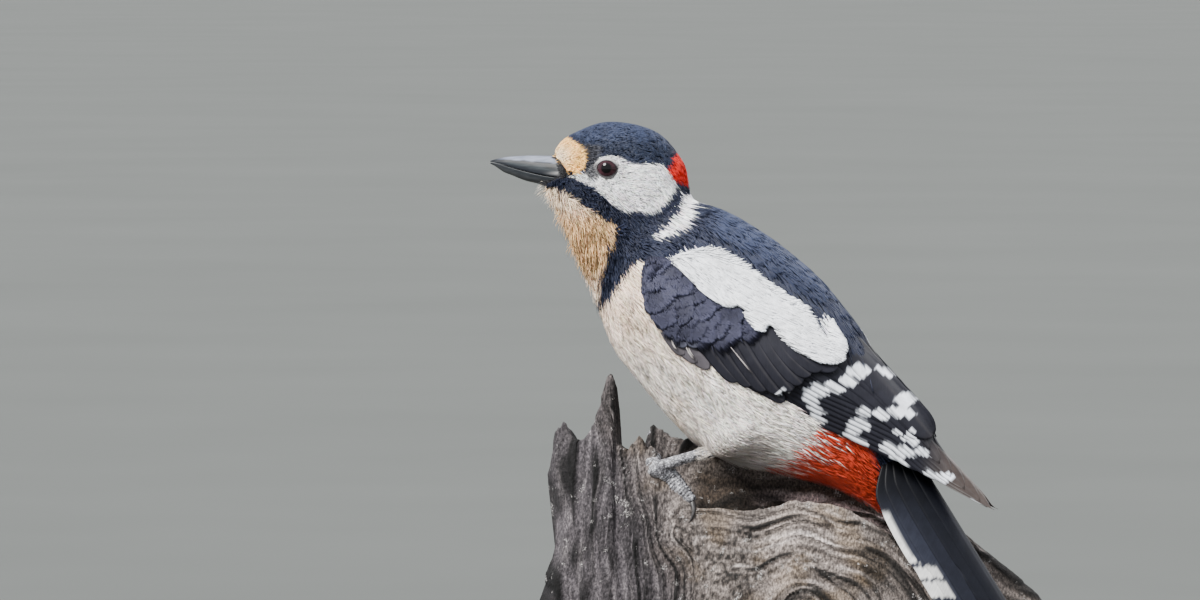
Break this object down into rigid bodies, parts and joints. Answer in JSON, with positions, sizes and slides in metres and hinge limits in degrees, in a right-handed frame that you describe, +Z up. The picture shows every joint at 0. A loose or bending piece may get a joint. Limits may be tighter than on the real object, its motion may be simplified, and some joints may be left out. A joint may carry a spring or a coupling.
{
  "type": "mounted great spotted woodpecker on a perch",
  "caption": "Life-size adult male great spotted woodpecker clinging to the broken top of a weathered stem, tail against the wood, held up by a plain display stand.",
  "frame": {"origin": "middle of the underside of the stand's base", "axes": "+Z up; the bird faces -X and its left side faces -Y; its middle plane is Y = 0"},
  "size_m": [0.1907, 0.1, 0.2067],
  "materials": {
    "head_feathers": "blue-black feathers with white cheeks, buff forehead and throat and a red nape",
    "body_feathers": "pinkish buff to white feathers below, red under the tail, blue-black above with white shoulder patches",
    "flight_feathers": "brown-black wing and tail feathers with rows of white spots",
    "bill_horn": "slate grey horn",
    "eye": "glossy dark red-brown",
    "leg_skin": "grey scales",
    "claw_horn": "dark grey horn",
    "perch_wood": "bare weathered grey wood",
    "stand_board": "dark stained and waxed",
    "stand_rod": "satin brass"
  },
  "bodies": {
    "root": {"head": "head_feathers", "neck": "head_feathers", "trunk": "body_feathers", "thigh_left": "body_feathers", "thigh_right": "body_feathers", "wing_left": "flight_feathers", "wing_right": "flight_feathers", "tail": "flight_feathers", "bill_upper": "bill_horn", "bill_lower": "bill_horn", "eye_left": "eye", "eye_right": "eye", "foot_left": "leg_skin", "foot_right": "leg_skin", "perch": "perch_wood", "stand_base": "stand_board", "stand_rod_1": "stand_rod", "stand_rod_2": "stand_rod", "claw_left_1": "claw_horn", "claw_left_2": "claw_horn", "claw_left_3": "claw_horn", "claw_left_4": "claw_horn", "claw_right_1": "claw_horn", "claw_right_2": "claw_horn", "claw_right_3": "claw_horn", "claw_right_4": "claw_horn"}
  },
  "joints": []
}
